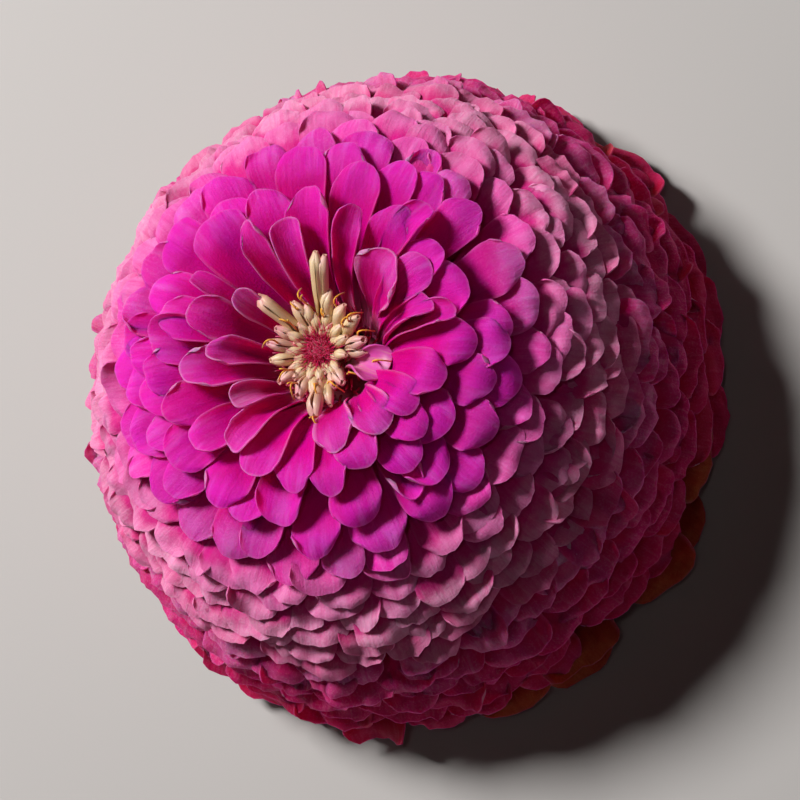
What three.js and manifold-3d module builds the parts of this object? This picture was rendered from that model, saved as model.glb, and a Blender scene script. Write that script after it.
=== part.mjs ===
// A picked double zinnia head, face up. It rests on the cut end of its short stem, with its lowest petals just
// clear of the surface. Millimetres, +Z up. The origin is the middle of the stem's cut end, +Z the flower's axis.
import * as THREE from "three";
import { mergeVertices } from "three/addons/utils/BufferGeometryUtils.js";
import Module from "manifold-3d";

const wasm = await Module();
wasm.setup();

// ---- Driving dimensions: millimetres, and degrees for angles ----

const dome = { radius: 55.2, centreZ: 8, flare: 0.035, craterDepth: 9.5 }; // the ball that the petal tips lie on
const coreDepth = 3; // under the tips, the hidden lower parts of the petals are taken as one mass
const sides = 20; // of every turned solid
const petal = { thickness: 0.75, shown: 15, pointed: 0.4 };
const gap = 0.35; // between one solid and the next
const cone = { baseRadius: 9.6, baseZ: 16, topRadius: 3.3, topZ: 45 }; // receptacle that carries every floret
const disc = { radius: 3.5, baseZ: 45.4, topZ: 50.2, scales: 30 };
const heart = { inner: 3.9, outer: 6.3, baseZ: 44.6, topZ: 48.8, inside: 10, outside: 13, styles: 10 };
const stem = { radius: 3.3, height: 3.2 };
const cup = { radius: 10.4, rimZ: 14.2, bractsInRow: 10, rows: 3 };
const goldenAngle = 137.508;
const seamClear = { above: 0.5, below: 3, drop: 1.1 }; // round a seam: polar angles without tips, and a lowered top

// Each band of petals has one colour and is one solid. Polar angles of its tips run from the flower's axis.
const bands = {
  coralPetals: { from: 65, to: 93, colour: 0xd6406f },
  palePetals: { from: 42, to: 65, colour: 0xe79abf },
  magentaPetals: { from: 12, to: 42, colour: 0xd8109c },
};
const guard = { count: 20, angles: [98, 96.4], above: 94.6, width: 14.5, thickness: 0.65 }; // the lowest whorl

// How a petal changes with the polar angle of its tip: [angle, value] pairs, read in straight lines.
const tipSlope = [[12, 52], [16, 34], [20, 16], [24, 2], [30, -14], [42, -30], [65, -53], [80, -64], [90, -62], [98, -54]];
const rootSlope = [[12, 72], [18, 70], [24, 68], [30, 64], [42, 56], [65, 46], [80, 36], [90, 26], [98, 15]];
const petalLength = [[12, 9], [16, 12.5], [20, 16], [24, 19.5], [30, 25.5], [42, 36], [65, 46], [80, 48], [98, 48]];
const petalWidth = [[12, 5], [16, 6.6], [24, 8.8], [42, 10.8], [65, 12.5], [80, 14.5], [90, 16]];
const petalCurl = [[12, 0.5], [24, 0.5], [42, 0.8], [65, 0.85]]; // below 1, a petal bends most near its tip
const petalSpacing = [[12, 44], [24, 58], [42, 66], [65, 74], [80, 88], [92, 100]]; // square millimetres for each

// ---- Small helpers ----

const toRad = THREE.MathUtils.degToRad;
const { clamp, lerp, smoothstep } = THREE.MathUtils;

// Reads a list of [angle, value] pairs at an angle, in straight lines between them.
function along(pairs, angle) {
  const next = pairs.findIndex(([at]) => at >= angle);
  if (next === 0) return pairs[0][1];
  if (next < 0) return pairs.at(-1)[1];
  const [[a, low], [b, high]] = [pairs[next - 1], pairs[next]];
  return lerp(low, high, (angle - a) / (b - a));
}

// Repeatable random numbers from -1 to 1.
let seed = 7;
function random() {
  seed = (seed * 16807) % 2147483647;
  return (seed / 2147483647) * 2 - 1;
}

// A closed three.js geometry as a manifold-3d solid.
function solidOf(geometry) {
  const bare = geometry.clone();
  bare.deleteAttribute("normal");
  bare.deleteAttribute("uv");
  const merged = mergeVertices(bare, 1e-4);
  const corners = merged.index.array;
  const triVerts = [];
  for (let i = 0; i < corners.length; i += 3) {
    const [a, b, c] = corners.subarray(i, i + 3);
    if (a !== b && b !== c && c !== a) triVerts.push(a, b, c);
  }
  const vertProperties = merged.attributes.position.array;
  return new wasm.Manifold(new wasm.Mesh({ numProp: 3, vertProperties, triVerts: new Uint32Array(triVerts) }));
}

// A named mesh of a solid. A scrap that a crossing of blades leaves loose is dropped.
function meshOf(name, solid, colour, roughness) {
  const body = solid.decompose().reduce((a, b) => (a.volume() > b.volume() ? a : b));
  const { numProp, numVert, vertProperties, triVerts } = body.getMesh();
  const points = new Float32Array(numVert * 3);
  for (let i = 0; i < numVert; i++) points.set(vertProperties.subarray(i * numProp, i * numProp + 3), i * 3);
  const geometry = new THREE.BufferGeometry();
  geometry.setAttribute("position", new THREE.BufferAttribute(points, 3));
  geometry.setIndex(new THREE.BufferAttribute(triVerts, 1));
  geometry.computeVertexNormals();
  const mesh = new THREE.Mesh(geometry, new THREE.MeshStandardMaterial({ color: colour, roughness, flatShading: true }));
  mesh.name = name;
  return mesh;
}

// A solid of revolution about +Z, from [radius, height] points that run up its outside.
function turned(profile) {
  const points = profile.map(([r, z]) => new THREE.Vector2(r, z));
  return solidOf(new THREE.LatheGeometry(points, sides).rotateX(Math.PI / 2));
}

// ---- Where a petal runs, in the plane of its radius r and height z ----

// Where the tip of a petal is, for its polar angle. The young petals stand in a shallow crater.
function tipPoint(angle) {
  const reach = dome.radius;
  const flare = 1 + dome.flare * smoothstep(angle, 86, 97);
  const crater = dome.craterDepth * (1 - smoothstep(angle, 2, 27));
  return { r: reach * Math.sin(toRad(angle)) * flare, z: dome.centreZ + reach * Math.cos(toRad(angle)) - crater };
}

// A petal's middle line, as at(s) = { r, z, slope } at a distance s inwards from its tip.
function petalLine(angle, tilt = 0) {
  const length = along(petalLength, angle);
  const curl = along(petalCurl, angle);
  const slopeAt = (s) => {
    const share = (Math.max(s, 0) / length) ** curl;
    return toRad(lerp(along(tipSlope, angle) + tilt, along(rootSlope, angle), share));
  };
  const step = 0.5;
  const points = [{ ...tipPoint(angle), slope: slopeAt(0) }];
  for (let s = 0; s < length + 3; s += step) {
    const { r, z } = points.at(-1);
    const slope = slopeAt(s + step / 2);
    points.push({ r: r - step * Math.cos(slope), z: z - step * Math.sin(slope), slope });
  }
  return { length, at: (s) => points[Math.round(clamp(s / step, 0, points.length - 1))] };
}

// A short line out from a root, which turns evenly from one slope to another; at(s) as for a petal's line.
function shortLine(root, length, fromSlope, toSlope) {
  const steps = 12;
  const points = [{ ...root, slope: toRad(fromSlope) }];
  for (let i = 0; i < steps; i++) {
    const { r, z } = points.at(-1);
    const slope = toRad(lerp(fromSlope, toSlope, (i + 0.5) / steps));
    points.push({ r: r + (length / steps) * Math.cos(slope), z: z + (length / steps) * Math.sin(slope), slope });
  }
  return { length, at: (s) => points[Math.round(clamp(1 - s / length, 0, 1) * steps)] };
}

// A thin blade, bent along a line and turned to its azimuth. Its outline runs from its root to a blunt tip.
// Each of its rows, root first, is [distance from the tip / length, width / full width].
function blade({ azimuth, line, length = line.length, width, rows, point = petal.pointed, thickness }) {
  const stations = rows.map(([back, wide]) => ({ s: back * length, x: (wide * width) / 2 }));
  stations.push({ s: 0, x: (point * width) / 2 });
  const half = (thickness ?? petal.thickness) / 2;
  const positions = [];
  for (const face of [half, -half]) {
    for (const { s, x } of stations) {
      const { r, z, slope } = line.at(s);
      const out = r - face * Math.sin(slope);
      const up = z + face * Math.cos(slope);
      positions.push(out, -x, up, out, x, up);
    }
  }
  const index = [];
  const quad = (a, b, c, d) => index.push(a, b, c, a, c, d);
  const under = stations.length * 2;
  for (let i = 0; i < under - 2; i += 2) {
    quad(i, i + 2, i + 3, i + 1);
    quad(under + i, under + i + 1, under + i + 3, under + i + 2);
    quad(i, under + i, under + i + 2, i + 2);
    quad(i + 1, i + 3, under + i + 3, under + i + 1);
  }
  quad(0, 1, under + 1, under);
  quad(under - 2, under * 2 - 2, under * 2 - 1, under - 1);
  const geometry = new THREE.BufferGeometry();
  geometry.setAttribute("position", new THREE.Float32BufferAttribute(positions, 3));
  geometry.setIndex(index);
  return solidOf(geometry.rotateZ(azimuth));
}

// ---- The mass under each band of petals ----

// The line of the petals at one polar angle, as [radius, height] points from the receptacle out to the skin.
function seam(angle, shift) {
  const line = petalLine(angle);
  const skin = dome.radius - coreDepth;
  const reachAt = (s) => Math.hypot(line.at(s).r, line.at(s).z - dome.centreZ);
  let end = 0;
  while (end < line.length && reachAt(end) > skin) end += 0.5;
  const rows = 4;
  return Array.from({ length: rows + 1 }, (_, i) => {
    const { r, z } = line.at(lerp(line.length, end, i / rows));
    return [r, z + shift];
  });
}

// The skin of a mass from one of its points up to another, without those two.
function skinBetween([lowR, lowZ], [highR, highZ], rows) {
  const skin = dome.radius - coreDepth;
  const low = Math.atan2(lowR, lowZ - dome.centreZ);
  const high = Math.atan2(highR, highZ - dome.centreZ);
  return Array.from({ length: rows - 1 }, (_, i) => {
    const angle = lerp(low, high, (i + 1) / rows);
    return [skin * Math.sin(angle), dome.centreZ + skin * Math.cos(angle)];
  });
}

// A point on the wall of the bore, which is parallel to the receptacle's cone.
const bore = (z) => [lerp(cone.baseRadius, cone.topRadius, (z - cone.baseZ) / (cone.topZ - cone.baseZ)) + gap, z];

// A ring with the band's skin outside, its two seams below and above, and the receptacle's bore inside.
function bandMass(name) {
  const half = gap / 2;
  if (name === "magentaPetals") {
    const low = [bore(39.2), ...seam(42, half)];
    const crater = [[17.5, 54.2], [12.4, 52.4], [9, 47.4], [heart.outer + gap, 47.2]];
    const floor = heart.baseZ - gap;
    const socket = [[heart.outer + gap, floor], bore(floor)];
    return turned([...low, ...skinBetween(low.at(-1), crater[0], 3), ...crater, ...socket, low[0]]);
  }
  if (name === "palePetals") {
    const low = [bore(31.2), ...seam(65, half)];
    const high = [...seam(42, -seamClear.drop).reverse(), bore(37.6)];
    return turned([...low, ...skinBetween(low.at(-1), high[0], 3), ...high, low[0]]);
  }
  const hub = [[11.2, 13], [15.4, 13], [16, 16]];
  const low = [...hub, ...seam(guard.above, 0).slice(1)];
  const high = [...seam(65, -seamClear.drop).reverse(), bore(29.6), bore(15.2), [11.2, 15.2]];
  return turned([...low, ...skinBetween(low.at(-1), high[0], 4), ...high, low[0]]);
}

// ---- Petals ----

// Petal tips in golden-angle order from the lowest up: { angle, azimuth }, each with its share of the dome.
function tipsInOrder() {
  const tips = [];
  for (let angle = bands.coralPetals.to, n = 0; angle > bands.magentaPetals.from; n++) {
    tips.push({ angle, azimuth: toRad((n * goldenAngle + random() * 2) % 360) });
    const ring = 2 * Math.PI * dome.radius * Math.sin(toRad(angle));
    angle -= THREE.MathUtils.radToDeg(along(petalSpacing, angle) / ring / dome.radius);
  }
  return tips;
}

// One petal of a band. A young one is seen at its full length, and of the others only the outer part is.
function petalBlade({ angle, azimuth }) {
  const young = angle < 30;
  const line = petalLine(angle, random() * 2);
  const length = young ? Math.min(line.length + 1.5, 17) : petal.shown;
  const rows = young ? [[1, 0.5], [0.5, 0.85], [0.18, 1]] : [[1, 0.7], [0.2, 1]];
  return blade({ azimuth, line, length, width: along(petalWidth, angle), rows });
}

// The whorl that spreads just over the surface, at its full length because it is seen from below.
function guardBlades() {
  return Array.from({ length: guard.count }, (_, i) => {
    const line = petalLine(guard.angles[i % guard.angles.length]);
    const azimuth = toRad((i * 360) / guard.count + random() * 1.5);
    const rows = [[1, 0.26], [0.75, 0.5], [0.45, 0.85], [0.16, 1]];
    return blade({ azimuth, line, width: guard.width, rows, thickness: guard.thickness });
  });
}

function bandSolid(name, tips) {
  const { from, to } = bands[name];
  const highest = name === "magentaPetals" ? from : from + seamClear.below;
  const petals = tips.filter(({ angle }) => angle >= highest && angle <= to - seamClear.above).map(petalBlade);
  if (name === "coralPetals") petals.push(...guardBlades());
  return wasm.Manifold.union([bandMass(name), ...petals]);
}

// ---- Heart: young florets with their styles, and the disc ----

function heartSolid() {
  const { inner, outer, baseZ, topZ } = heart;
  const ring = turned([
    [inner, baseZ],
    [outer, baseZ],
    [outer, topZ - 0.4],
    [inner + 0.5, topZ],
    [inner, topZ - 0.5],
    [inner, baseZ],
  ]);
  const whorl = (count, root, length, slopes, width, thickness, rows, turn) =>
    Array.from({ length: count }, (_, i) => {
      const line = shortLine(root, length * (1 + 0.08 * random()), ...slopes);
      return blade({ azimuth: toRad(((i + turn) * 360) / count), line, width, thickness, rows, point: 0.6 });
    });
  return wasm.Manifold.union([
    ring,
    ...whorl(heart.inside, { r: 4.8, z: topZ - 1.2 }, 4.6, [78, 68], 1.5, 0.8, [[1, 0.8], [0.3, 1]], 0),
    ...whorl(heart.outside, { r: 5.6, z: topZ - 1.2 }, 6.6, [72, 50], 2, 0.8, [[1, 0.6], [0.3, 1]], 0.3),
    ...whorl(heart.styles, { r: 5.2, z: topZ - 1.2 }, 5.4, [84, 62], 0.7, 0.6, [[1, 1], [0.4, 1]], 0.5),
  ]);
}

function discSolid() {
  const { radius, baseZ, topZ, scales } = disc;
  const button = turned([[0, baseZ], [radius, baseZ], [radius, topZ - 1.6], [radius * 0.7, topZ - 0.5], [0, topZ]]);
  const fringe = Array.from({ length: scales }, (_, n) => {
    const share = Math.sqrt((n + 0.6) / scales);
    const spike = new THREE.ConeGeometry(0.45, 2.6, 3).rotateX(Math.PI / 2);
    spike.rotateY(toRad(8 * share));
    spike.translate(share * (radius - 0.7), 0, topZ - 1.1 * share ** 2);
    return solidOf(spike.rotateZ(toRad(n * goldenAngle)));
  });
  return wasm.Manifold.union([button, ...fringe]);
}

// ---- Green cup of bracts, with the stem below it and the receptacle's cone above ----

function cupSolid() {
  const body = turned([
    [0, 0],
    [stem.radius, 0],
    [stem.radius, stem.height],
    [7.2, stem.height + 1.6],
    [cup.radius - 1.2, 9.2],
    [cup.radius - 0.4, cup.rimZ - 0.4],
    [cone.baseRadius, cup.rimZ],
    [cone.baseRadius, cone.baseZ],
    [cone.topRadius, cone.topZ],
    [0, cone.topZ],
  ]);
  const bracts = Array.from({ length: cup.rows * cup.bractsInRow }, (_, i) => {
    const row = i % cup.rows;
    const azimuth = toRad((i * 360) / (cup.rows * cup.bractsInRow));
    const root = { r: 6.8 + row * 1.25, z: stem.height + 1.7 + row * 1.9 };
    const line = shortLine(root, 5.4, 50 + row * 14, 88 + row * 4);
    return blade({ azimuth, line, width: 5, rows: [[1, 0.8], [0.35, 1]], point: 0.45, thickness: 0.9 });
  });
  return wasm.Manifold.union([body, ...bracts]);
}

// ---- The flower ----

const flower = new THREE.Group();
flower.name = "zinniaHead";
const tips = tipsInOrder();
for (const [name, { colour }] of Object.entries(bands)) {
  flower.add(meshOf(name, bandSolid(name, tips), colour, 0.65));
}
flower.add(meshOf("youngFlorets", heartSolid(), 0xe3d3a0, 0.6));
flower.add(meshOf("disc", discSolid(), 0xa5123f, 0.7));
flower.add(meshOf("involucre", cupSolid(), 0x5c7a35, 0.6));

export default flower;
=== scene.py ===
import bpy
import bmesh
import math
import random
from mathutils import Matrix, Vector, noise


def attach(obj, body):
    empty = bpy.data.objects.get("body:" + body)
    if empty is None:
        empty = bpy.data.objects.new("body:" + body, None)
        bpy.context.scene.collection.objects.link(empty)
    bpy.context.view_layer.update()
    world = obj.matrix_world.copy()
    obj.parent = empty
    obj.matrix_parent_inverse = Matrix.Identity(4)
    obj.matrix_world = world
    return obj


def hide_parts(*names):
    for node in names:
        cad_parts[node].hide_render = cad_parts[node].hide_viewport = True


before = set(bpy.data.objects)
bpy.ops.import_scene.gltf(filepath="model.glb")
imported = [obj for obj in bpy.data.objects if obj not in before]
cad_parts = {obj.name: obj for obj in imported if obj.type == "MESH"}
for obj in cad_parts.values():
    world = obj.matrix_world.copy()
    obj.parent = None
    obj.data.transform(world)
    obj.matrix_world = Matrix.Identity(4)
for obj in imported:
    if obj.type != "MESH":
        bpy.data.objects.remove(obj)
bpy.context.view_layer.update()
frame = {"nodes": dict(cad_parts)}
print("frame loaded:", ", ".join(frame["nodes"]))

mm = 0.001
goldenAngle = 137.508
lineStep = 0.5  # between two points of a petal's middle line

# A double zinnia, face up. Lengths are in millimetres until a mesh is placed, and angles in degrees.
# A petal is named by the polar angle of its tip, from the flower's axis: the youngest are near 15, the lowest 98.

domeForm = {
    "radius": 54.9, "centreZ": 8.0,
    "flare": 0.04, "flareRange": (86, 97),  # the lowest petals spread
    "oval": 0.018, "ovalAt": 28, "ovalRange": (35, 70),
    "craterDepth": 9.5, "craterRange": (2, 27),
}
petalHabit = {  # pairs of polar angle and value
    "tipSlope": [(12, 52), (16, 38), (20, 22), (24, 10), (30, 0), (42, -12), (55, -24), (65, -34), (80, -48),
                 (90, -55), (98, -50)],
    "rootSlope": [(12, 72), (18, 70), (24, 68), (30, 64), (42, 56), (65, 46), (80, 36), (90, 26), (98, 15)],
    "length": [(12, 10), (16, 13.5), (20, 17.5), (24, 21.5), (30, 27), (42, 36.5), (65, 46), (80, 48), (98, 48)],
    "curl": [(12, 0.5), (24, 0.5), (42, 0.8), (65, 0.85), (98, 0.85)],
}


def readOff(pairs, angle):
    if angle <= pairs[0][0]:
        return pairs[0][1]
    for (low, first), (high, second) in zip(pairs, pairs[1:]):
        if angle <= high:
            return first + (second - first) * (angle - low) / (high - low)
    return pairs[-1][1]


def easeIn(low, high, value):
    share = max(0.0, min(1.0, (value - low) / (high - low)))
    return share * share * (3 - 2 * share)


def blend(a, b, share):
    return a + (b - a) * share


def outwardAt(azimuth):
    return Vector((math.cos(azimuth), math.sin(azimuth), 0))


# The middle line of a petal from its tip inwards, as (radius, height, slope) at every step.
def petalLine(petal):
    angle = petal["angle"]
    reach = domeForm["radius"] + petal["lift"]
    oval = domeForm["oval"] * math.cos(math.radians(petal["azimuth"] - domeForm["ovalAt"]) * 2)
    r = reach * math.sin(math.radians(angle)) * (1 + domeForm["flare"] * easeIn(*domeForm["flareRange"], angle))
    r *= 1 + oval * easeIn(*domeForm["ovalRange"], angle)
    z = domeForm["centreZ"] + reach * math.cos(math.radians(angle))
    z -= domeForm["craterDepth"] * (1 - easeIn(*domeForm["craterRange"], angle))
    length = readOff(petalHabit["length"], angle)
    curl = readOff(petalHabit["curl"], angle)
    tipSlope = readOff(petalHabit["tipSlope"], angle) + petal["tilt"]
    rootSlope = readOff(petalHabit["rootSlope"], angle)
    line = []
    for n in range(int(length / lineStep) + 2):
        s = n * lineStep
        slope = blend(tipSlope, rootSlope, min(1.0, s / length) ** curl)
        slope -= petal["reflex"] * (1 - easeIn(0, petal["reflexLength"], s))
        slope = math.radians(slope)
        line.append((r, z, slope))
        r -= lineStep * math.cos(slope)
        z -= lineStep * math.sin(slope)
    return line


# A line that leaves a root and turns from one slope to another, given from its tip inwards.
def shootLine(rootR, rootZ, length, fromSlope, toSlope):
    count = int(length / lineStep) + 1
    line = []
    r, z = rootR, rootZ
    for n in range(count + 1):
        slope = math.radians(blend(fromSlope, toSlope, n / count))
        line.append((r, z, slope))
        r += lineStep * math.cos(slope)
        z += lineStep * math.sin(slope)
    line.reverse()
    return line


def pointOn(line, s):
    place = max(0.0, min(len(line) - 1.001, s / lineStep))
    n = int(place)
    return tuple(blend(a, b, place - n) for a, b in zip(line[n], line[n + 1]))


def startSheet():
    bm = bmesh.new()
    layers = {name: bm.verts.layers.float.new(name) for name in ("across", "along", "age", "luck", "depth")}
    return bm, layers


surfaceForm = {  # ranges are distances from the tip over which a feature fades out
    "bladeRange": (7, 15), "buckleRange": (9, 18), "ruffleRange": (1.5, 6),
    "ruffleAcross": 2.0, "ruffleAlong": 2.6,
    "tipFoldReach": 18, "rootFold": 0.5, "sideBuckle": 0.25,
    "creaseWidth": 0.2,  # a share of half the width
    "notchSharpness": 3.2, "cornerBend": 0.95,
    "edgeGrid": 0.32, "rowGrid": 5,
    "depthUnit": 20,  # the depth attribute is 1 at this distance from the tip
}


# Uneven growth: a soft buckling that fades out below the part of a petal that shows.
def buckle(petal, u, s, seed):
    place = Vector((u * petal["width"] * 0.5 / petal["buckleSize"] + seed * 61, s / petal["buckleSize"], seed * 23))
    return noise.noise(place) * petal["buckle"] * (1 - easeIn(*surfaceForm["buckleRange"], s))


# How far the tip's outline stands back from the petal's full length: round corners, a ragged edge and a notch.
def tipSetBack(petal, u):
    luck = petal["luck"]
    corner = 1 - math.sqrt(max(0.0, 1 - surfaceForm["cornerBend"] * (u - petal["skew"] * (1 - u * u)) ** 2))
    ragged = noise.noise(Vector((u * 2.4, luck * 91, 0))) + 0.45 * noise.noise(Vector((u * 6.5, luck * 57, 4)))
    setBack = corner * petal["width"] / 2 * petal["round"] + max(0.0, ragged + 0.7) * petal["ragged"]
    return setBack + petal["notch"] * max(0.0, 1 - abs(u - petal["notchAt"]) * surfaceForm["notchSharpness"])


# One petal: a grid that is laid along its middle line, narrowed to a claw, rounded at the tip and folded across.
def addPetal(bm, layers, petal, line):
    across, rows = petal["grid"]
    made = bmesh.ops.create_grid(bm, x_segments=across, y_segments=rows, size=1.0)
    length = (len(line) - 2) * lineStep
    halfWidth = petal["width"] / 2
    outward = outwardAt(math.radians(petal["azimuth"]))
    aside = Vector((outward.y, -outward.x, 0))
    up = Vector((0, 0, 1))
    shape = petal["shape"]
    luck = petal["luck"]
    form = surfaceForm
    dense = min(1.0, petal["showing"] / length)
    for vert in made["verts"]:
        # Columns are closer at the edges, and rows where the petal shows.
        u = vert.co.x * (1 + form["edgeGrid"] - form["edgeGrid"] * vert.co.x ** 2)
        v = (vert.co.y + 1) / 2
        s = length * (dense * (1 - v) + (1 - dense) * (1 - v) ** form["rowGrid"])
        nearTip = 1 - easeIn(0, shape["tipLength"], s)
        width = blend(1, shape["claw"], easeIn(shape["tipLength"], length * shape["clawAt"], s))
        width *= 1 - petal["point"] * nearTip * nearTip
        setBack = tipSetBack(petal, u)
        s += setBack * max(0.0, 1 - s / (1 + 2 * setBack))
        r, z, slope = pointOn(line, s)

        tipFoldShare = 1 - easeIn(0, min(form["tipFoldReach"], length * 0.5), s)
        fold = blend(shape["fold"], shape["tipFold"] + petal["foldDrift"], tipFoldShare)
        fold = math.radians(fold * blend(1, form["rootFold"], easeIn(length * 0.5, length, s)))
        arc = width * halfWidth
        turn = u * fold / 2
        if abs(fold) < 0.05:
            side, rise = u * arc, 0.0
        else:
            side = arc / (fold / 2) * math.sin(turn)
            rise = arc / (fold / 2) * (1 - math.cos(turn))

        blade = 1 - easeIn(*form["bladeRange"], s)
        rise += buckle(petal, u, s, luck)
        side += buckle(petal, u, s, luck + 5) * form["sideBuckle"]
        ruffle = noise.noise(Vector((u * halfWidth / form["ruffleAcross"], s / form["ruffleAlong"], luck * 71)))
        rise += ruffle * petal["ruffle"] * (1 - easeIn(*form["ruffleRange"], s))
        rise -= petal["crease"] * blade * math.exp(-(((u - petal["creaseAt"]) / form["creaseWidth"]) ** 2))
        rise += petal["lean"] * blade * u * nearTip
        roll = math.radians(petal["roll"]) * (1 - s / length)
        side, rise = side * math.cos(roll) - rise * math.sin(roll), side * math.sin(roll) + rise * math.cos(roll)
        side += petal["swing"] * (1 - s / length) ** 2

        normal = -math.sin(slope) * outward + math.cos(slope) * up
        vert.co = (r * outward + z * up + side * aside + rise * normal) * mm
        vert[layers["across"]] = (u + 1) / 2
        vert[layers["along"]] = v
        vert[layers["age"]] = petal["age"] / 100
        vert[layers["luck"]] = luck
        vert[layers["depth"]] = s / form["depthUnit"]


def linkPiece(bm, name, finishes):
    for face in bm.faces:
        face.smooth = True
    mesh = bpy.data.meshes.new(name)
    bm.to_mesh(mesh)
    bm.free()
    for finish in finishes:
        mesh.materials.append(finish)
    piece = bpy.data.objects.new(name, mesh)
    bpy.context.collection.objects.link(piece)
    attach(piece, "root")
    return piece


# Petals are open sheets, which get their thickness here. A second finish is for the reverse.
def finishSheet(bm, layers, name, thickness, finishes, replaced):
    uvLayer = bm.loops.layers.uv.new("petalMap")
    for face in bm.faces:
        for loop in face.loops:
            loop[uvLayer].uv = (loop.vert[layers["across"]], loop.vert[layers["along"]])
    for edge in bm.edges:
        edge.smooth = not edge.is_boundary
    piece = linkPiece(bm, name, finishes)
    wall = piece.modifiers.new("thickness", "SOLIDIFY")
    wall.thickness = thickness * mm
    wall.offset = -1
    wall.material_offset = len(finishes) - 1
    wall.material_offset_rim = 0
    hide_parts(replaced)


def tone(red, green, blue):
    parts = [c / 255 for c in (red, green, blue)]
    return tuple(c / 12.92 if c <= 0.04045 else ((c + 0.055) / 1.055) ** 2.4 for c in parts) + (1,)


def startFinish(name):
    finish = bpy.data.materials.new(name)
    finish.use_nodes = True
    return finish, finish.node_tree, finish.node_tree.nodes["Principled BSDF"]


# A node, its settings, and its inputs by name or as in0, in1 and so on.
def addNode(tree, kind, settings=None, **inputs):
    node = tree.nodes.new(kind)
    for key, value in (settings or {}).items():
        setattr(node, key, value)
    for key, value in inputs.items():
        socket = node.inputs[int(key[2:])] if key.startswith("in") else node.inputs[key]
        if isinstance(value, bpy.types.NodeSocket):
            tree.links.new(value, socket)
        else:
            socket.default_value = value
    return node


def mathNode(tree, operation, a, b=0.0):
    return addNode(tree, "ShaderNodeMath", {"operation": operation}, in0=a, in1=b).outputs[0]


def multiply(tree, a, b):
    return mathNode(tree, "MULTIPLY", a, b)


def scaleAndShift(tree, value, scale, shift):
    settings = {"operation": "MULTIPLY_ADD"}
    return addNode(tree, "ShaderNodeMath", settings, in0=value, in1=scale, in2=shift).outputs[0]


def rangeNode(tree, value, fromLow, fromHigh, toLow=0.0, toHigh=1.0):
    settings = {"interpolation_type": "SMOOTHSTEP"}
    node = addNode(tree, "ShaderNodeMapRange", settings, in0=value, in1=fromLow, in2=fromHigh, in3=toLow, in4=toHigh)
    return node.outputs[0]


def mixColours(tree, share, first, second):
    return addNode(tree, "ShaderNodeMix", {"data_type": "RGBA"}, in0=share, in6=first, in7=second).outputs[2]


# Each stop is a place and a colour's red, green and blue.
def rampNode(tree, value, stops):
    node = addNode(tree, "ShaderNodeValToRGB", None, in0=value)
    ramp = node.color_ramp
    while len(ramp.elements) > 1:
        ramp.elements.remove(ramp.elements[-1])
    ramp.elements[0].position = stops[0][0]
    ramp.elements[0].color = tone(*stops[0][1:])
    for place, *colour in stops[1:]:
        ramp.elements.new(place).color = tone(*colour)
    return node.outputs[0]


def noiseNode(tree, place, scale, detail, roughness=0.5):
    inputs = {"Vector": place, "Scale": scale, "Detail": detail, "Roughness": roughness}
    return addNode(tree, "ShaderNodeTexNoise", None, **inputs).outputs[0]


def readAttributes(tree, *names):
    return [addNode(tree, "ShaderNodeAttribute", {"attribute_name": name}).outputs["Fac"] for name in names]


def readPetalMap(tree):
    place = addNode(tree, "ShaderNodeUVMap", {"uv_map": "petalMap"}).outputs[0]
    parts = addNode(tree, "ShaderNodeSeparateXYZ", None, in0=place)
    return parts.outputs[0], parts.outputs[1]


# A pattern's place on a petal, stretched along it and different on each.
def growthPlace(tree, sockets, scales):
    x, y, z = [multiply(tree, socket, scale) for socket, scale in zip(sockets, scales)]
    return addNode(tree, "ShaderNodeCombineXYZ", None, in0=x, in1=y, in2=z).outputs[0]


def varyBrightness(tree, colour, luck, spread, lowest):
    brightness = scaleAndShift(tree, luck, spread, lowest)
    return addNode(tree, "ShaderNodeHueSaturation", None, Value=brightness, Color=colour).outputs[0]


def closeFinish(tree, shader, colour, height, bump, sockets):
    strength, distance = bump
    normal = addNode(tree, "ShaderNodeBump", None, Strength=strength, Distance=distance, Height=height).outputs[0]
    tree.links.new(colour, shader.inputs["Base Color"])
    tree.links.new(normal, shader.inputs["Normal"])
    for name, value in sockets.items():
        shader.inputs[name].default_value = value


petalColours = {  # by age: the polar angle of the tip / 100
    # The stops at 0.96 are an orange-brown painted shade, given only to the lowest petals on the side away from the
    # key light.
    "face": [(0.12, 216, 80, 164), (0.19, 224, 30, 154), (0.25, 228, 8, 156), (0.34, 236, 0, 166),
             (0.42, 234, 30, 166), (0.47, 230, 104, 174), (0.56, 232, 142, 184), (0.64, 230, 116, 168),
             (0.70, 228, 70, 142), (0.80, 226, 26, 110), (0.92, 224, 30, 92), (0.96, 184, 76, 46)],
    "deep": [(0.12, 204, 4, 112), (0.42, 210, 0, 134), (0.56, 214, 8, 128), (0.8, 206, 2, 76), (0.92, 204, 8, 60),
             (0.96, 150, 38, 26)],
    "light": [(0.12, 232, 124, 190), (0.22, 238, 50, 190), (0.38, 240, 26, 190), (0.45, 238, 130, 200),
              (0.56, 240, 178, 208), (0.92, 238, 84, 134), (0.96, 204, 108, 70)],
    # lilac: the colour of a painted sheen highlight near the tips, partly pale streaks
    "lilac": [(0.12, 234, 148, 204), (0.24, 234, 100, 204), (0.4, 236, 104, 206), (0.47, 234, 160, 206),
              (0.6, 240, 190, 214), (0.78, 236, 96, 150), (0.92, 232, 90, 130), (0.96, 196, 104, 70)],
    # rim: partly the petals' own pale edge, partly a painted highlight on the edges
    "rim": tone(240, 152, 206),
    "claw": tone(214, 128, 140),
    "reverse": tone(226, 164, 198),
}
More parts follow.
